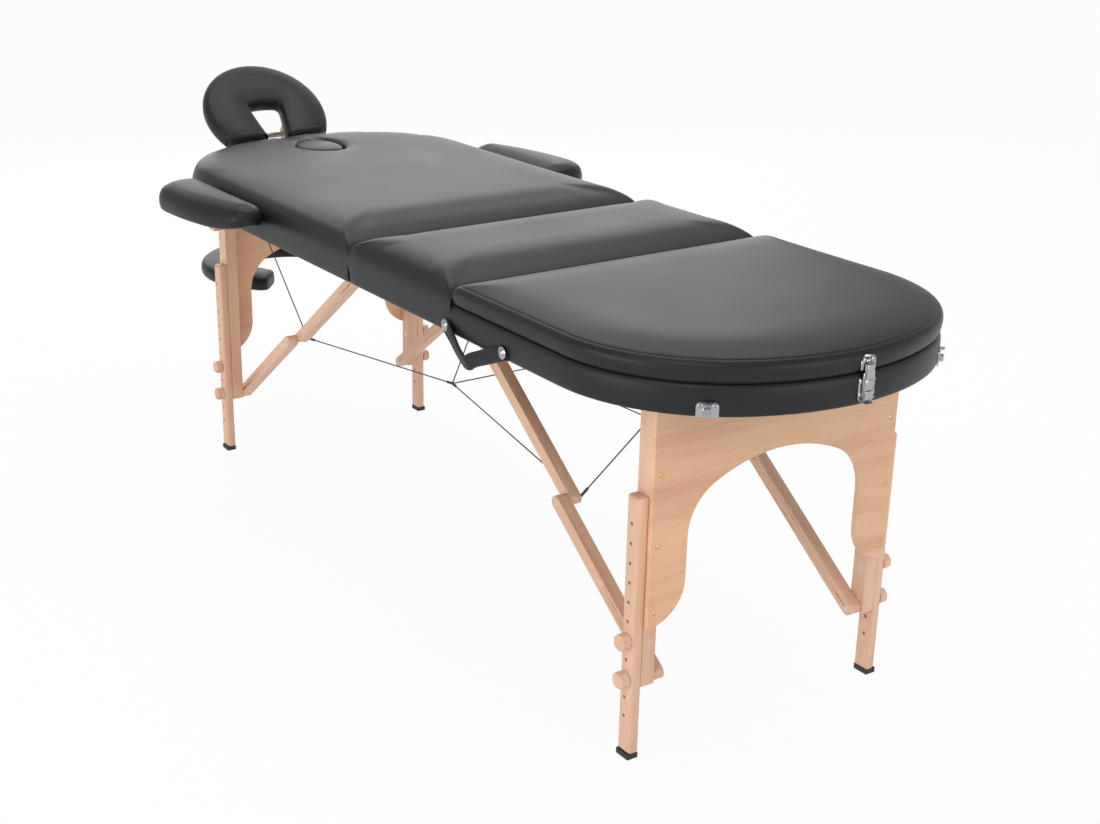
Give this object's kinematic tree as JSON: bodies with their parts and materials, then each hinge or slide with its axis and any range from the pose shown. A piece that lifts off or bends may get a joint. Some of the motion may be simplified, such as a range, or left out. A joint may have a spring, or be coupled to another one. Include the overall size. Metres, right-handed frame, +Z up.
{
  "type": "folding massage table",
  "caption": "Folding massage table with rounded padded top, lift-up foot section, face hole with plug, face rest, armrests, arm shelf and height-adjustable braced wooden legs.",
  "frame": {"origin": "on the floor, under the middle of the whole table's bounding box", "axes": "+X along the table to the foot end, -Y to the side with the carry handle, +Z up"},
  "size_m": [2.221, 0.94, 0.8543],
  "materials": {
    "vinyl": "satin black upholstery vinyl",
    "beech": "clear-lacquered beech",
    "plywood": "clear-lacquered beech plywood",
    "rubber": "moulded black rubber",
    "steel": "zinc-plated",
    "chrome": "bright plated",
    "cable": "black coated steel cable",
    "webbing": "woven black webbing"
  },
  "bodies": {
    "head_half": {"head_rim": "vinyl", "head_deck": "plywood", "head_cushion": "vinyl", "head_hinge_leaves": "steel", "head_pivot_blocks": "beech", "head_cables": "cable"},
    "centre_hinge": {"hinge_pins": "steel"},
    "foot_half": {"foot_rim": "vinyl", "middle_deck": "plywood", "middle_cushion": "vinyl", "foot_hinge_leaves": "steel", "foot_pivot_blocks": "beech", "foot_cables": "cable", "lid_hinge_strip": "vinyl", "latch_base": "chrome", "keeper_plates": "chrome", "handle_rivets": "chrome"},
    "foot_section": {"lid_board": "plywood", "foot_cushion": "vinyl", "latch_catch": "chrome"},
    "foot_section_stays": {"lid_stays": "steel"},
    "toggle_lever": {"latch_lever": "chrome"},
    "carry_handle": {"handle_strap": "vinyl"},
    "hole_plug": {"face_plug": "vinyl"},
    "face_rest_support": {"face_rest_frame": "steel"},
    "face_rest": {"face_rest_board": "plywood", "face_rest_cushion": "vinyl"},
    "arm_shelf": {"arm_shelf_pad": "vinyl", "arm_shelf_straps": "webbing"},
    "front_armrest": {"front_armrest_cushion": "vinyl", "front_armrest_slats": "beech"},
    "rear_armrest": {"rear_armrest_cushion": "vinyl", "rear_armrest_slats": "beech"},
    "head_leg_frame": {"head_posts": "beech", "head_panel": "plywood", "head_leg_rail": "beech"},
    "head_upper_brace_pair": {"head_upper_braces": "beech"},
    "head_lower_brace_pair": {"head_lower_braces": "beech"},
    "head_front_extension": {"head_front_leg": "beech", "head_front_foot": "rubber"},
    "head_front_upper_clamp": {"head_front_upper_knob": "beech"},
    "head_front_lower_clamp": {"head_front_lower_knob": "beech"},
    "head_rear_extension": {"head_rear_leg": "beech", "head_rear_foot": "rubber"},
    "head_rear_upper_clamp": {"head_rear_upper_knob": "beech"},
    "head_rear_lower_clamp": {"head_rear_lower_knob": "beech"},
    "foot_leg_frame": {"foot_posts": "beech", "foot_panel": "plywood", "foot_leg_rail": "beech"},
    "foot_upper_brace_pair": {"foot_upper_braces": "beech"},
    "foot_lower_brace_pair": {"foot_lower_braces": "beech"},
    "foot_front_extension": {"foot_front_leg": "beech", "foot_front_foot": "rubber"},
    "foot_front_upper_clamp": {"foot_front_upper_knob": "beech"},
    "foot_front_lower_clamp": {"foot_front_lower_knob": "beech"},
    "foot_rear_extension": {"foot_rear_leg": "beech", "foot_rear_foot": "rubber"},
    "foot_rear_upper_clamp": {"foot_rear_upper_knob": "beech"},
    "foot_rear_lower_clamp": {"foot_rear_lower_knob": "beech"}
  },
  "joints": [
    {"name": "centre_fold_a", "type": "hinge", "parent": "head_half", "child": "centre_hinge", "pos_m": [0.11507, 0, 0.618], "axis": [0, 1, 0], "range_deg": [0, 90], "deforming": ["head_cables", "foot_cables"]},
    {"name": "centre_fold_b", "type": "hinge", "parent": "centre_hinge", "child": "foot_half", "pos_m": [0.11507, 0, 0.618], "axis": [0, 1, 0], "range_deg": [0, 90], "deforming": ["head_cables", "foot_cables"]},
    {"name": "head_leg_fold", "type": "hinge", "parent": "head_half", "child": "head_leg_frame", "pos_m": [-0.68293, 0, 0.645], "axis": [0, -1, 0], "range_deg": [0, 90]},
    {"name": "head_upper_brace_turn", "type": "hinge", "parent": "head_half", "child": "head_upper_brace_pair", "pos_m": [-0.00593, 0, 0.645], "axis": [0, 1, 0], "range_deg": [0, 36.77]},
    {"name": "head_lower_brace_turn", "type": "hinge", "parent": "head_leg_frame", "child": "head_lower_brace_pair", "pos_m": [-0.68293, 0, 0.139], "axis": [0, -1, 0], "range_deg": [0, 53.23]},
    {"name": "head_front_height", "type": "slide", "parent": "head_leg_frame", "child": "head_front_extension", "axis": [0, 0, 1], "range_m": [-0.204, 0.068]},
    {"name": "head_front_upper_knob_turn", "type": "hinge", "parent": "head_leg_frame", "child": "head_front_upper_clamp", "pos_m": [-0.68293, -0.257, 0.213], "axis": [0, -1, 0], "continuous": true},
    {"name": "head_front_lower_knob_turn", "type": "hinge", "parent": "head_leg_frame", "child": "head_front_lower_clamp", "pos_m": [-0.68293, -0.257, 0.145], "axis": [0, -1, 0], "continuous": true},
    {"name": "head_rear_height", "type": "slide", "parent": "head_leg_frame", "child": "head_rear_extension", "axis": [0, 0, 1], "range_m": [-0.204, 0.068]},
    {"name": "head_rear_upper_knob_turn", "type": "hinge", "parent": "head_leg_frame", "child": "head_rear_upper_clamp", "pos_m": [-0.68293, 0.257, 0.213], "axis": [0, 1, 0], "continuous": true},
    {"name": "head_rear_lower_knob_turn", "type": "hinge", "parent": "head_leg_frame", "child": "head_rear_lower_clamp", "pos_m": [-0.68293, 0.257, 0.145], "axis": [0, 1, 0], "continuous": true},
    {"name": "foot_leg_fold", "type": "hinge", "parent": "foot_half", "child": "foot_leg_frame", "pos_m": [0.91307, 0, 0.645], "axis": [0, 1, 0], "range_deg": [0, 90]},
    {"name": "foot_upper_brace_turn", "type": "hinge", "parent": "foot_half", "child": "foot_upper_brace_pair", "pos_m": [0.23607, 0, 0.645], "axis": [0, -1, 0], "range_deg": [0, 36.77]},
    {"name": "foot_lower_brace_turn", "type": "hinge", "parent": "foot_leg_frame", "child": "foot_lower_brace_pair", "pos_m": [0.91307, 0, 0.139], "axis": [0, 1, 0], "range_deg": [0, 53.23]},
    {"name": "foot_front_height", "type": "slide", "parent": "foot_leg_frame", "child": "foot_front_extension", "axis": [0, 0, 1], "range_m": [-0.204, 0.068]},
    {"name": "foot_front_upper_knob_turn", "type": "hinge", "parent": "foot_leg_frame", "child": "foot_front_upper_clamp", "pos_m": [0.91307, -0.257, 0.213], "axis": [0, -1, 0], "continuous": true},
    {"name": "foot_front_lower_knob_turn", "type": "hinge", "parent": "foot_leg_frame", "child": "foot_front_lower_clamp", "pos_m": [0.91307, -0.257, 0.145], "axis": [0, -1, 0], "continuous": true},
    {"name": "foot_rear_height", "type": "slide", "parent": "foot_leg_frame", "child": "foot_rear_extension", "axis": [0, 0, 1], "range_m": [-0.204, 0.068]},
    {"name": "foot_rear_upper_knob_turn", "type": "hinge", "parent": "foot_leg_frame", "child": "foot_rear_upper_clamp", "pos_m": [0.91307, 0.257, 0.213], "axis": [0, 1, 0], "continuous": true},
    {"name": "foot_rear_lower_knob_turn", "type": "hinge", "parent": "foot_leg_frame", "child": "foot_rear_lower_clamp", "pos_m": [0.91307, 0.257, 0.145], "axis": [0, 1, 0], "continuous": true},
    {"name": "foot_section_lift", "type": "hinge", "parent": "foot_half", "child": "foot_section", "pos_m": [0.48707, 0, 0.706], "axis": [0, -1, 0], "range_deg": [0, 55]},
    {"name": "stay_swing", "type": "hinge", "parent": "foot_half", "child": "foot_section_stays", "pos_m": [0.67507, 0, 0.655], "axis": [0, -1, 0], "range_deg": [0, 100]},
    {"name": "toggle_lever_turn", "type": "hinge", "parent": "foot_half", "child": "toggle_lever", "pos_m": [1.10867, 0, 0.632], "axis": [0, 1, 0], "range_deg": [0, 110]},
    {"name": "handle_swing", "type": "hinge", "parent": "foot_half", "child": "carry_handle", "pos_m": [0.56457, -0.349, 0.634], "axis": [-1, 0, 0], "range_deg": [0, 90]},
    {"name": "plug_lift", "type": "slide", "parent": "head_half", "child": "hole_plug", "axis": [0, 0, 1], "range_m": [0, 0.06]},
    {"name": "face_rest_slide", "type": "slide", "parent": "head_half", "child": "face_rest_support", "axis": [-1, 0, 0], "range_m": [0, 0.06]},
    {"name": "face_rest_tilt", "type": "hinge", "parent": "face_rest_support", "child": "face_rest", "pos_m": [-0.99693, 0, 0.69], "axis": [0, -1, 0], "range_deg": [-8, 38]},
    {"name": "arm_shelf_slide", "type": "slide", "parent": "face_rest_support", "child": "arm_shelf", "axis": [-1, 0, 0], "range_m": [0, 0.03]},
    {"name": "front_armrest_slide", "type": "slide", "parent": "head_half", "child": "front_armrest", "axis": [0, -1, 0], "range_m": [0, 0.04]},
    {"name": "rear_armrest_slide", "type": "slide", "parent": "head_half", "child": "rear_armrest", "axis": [0, 1, 0], "range_m": [0, 0.04]}
  ],
  "couplings": [
    {"joint": "head_leg_fold", "follows": "centre_fold_a", "ratio": 1},
    {"joint": "head_upper_brace_turn", "follows": "centre_fold_a", "ratio": 0.40861},
    {"joint": "head_lower_brace_turn", "follows": "centre_fold_a", "ratio": 0.59139},
    {"joint": "foot_leg_fold", "follows": "centre_fold_a", "ratio": 1},
    {"joint": "foot_upper_brace_turn", "follows": "centre_fold_a", "ratio": 0.40861},
    {"joint": "foot_lower_brace_turn", "follows": "centre_fold_a", "ratio": 0.59139},
    {"joint": "stay_swing", "follows": "foot_section_lift", "ratio": 1.8182}
  ]
}
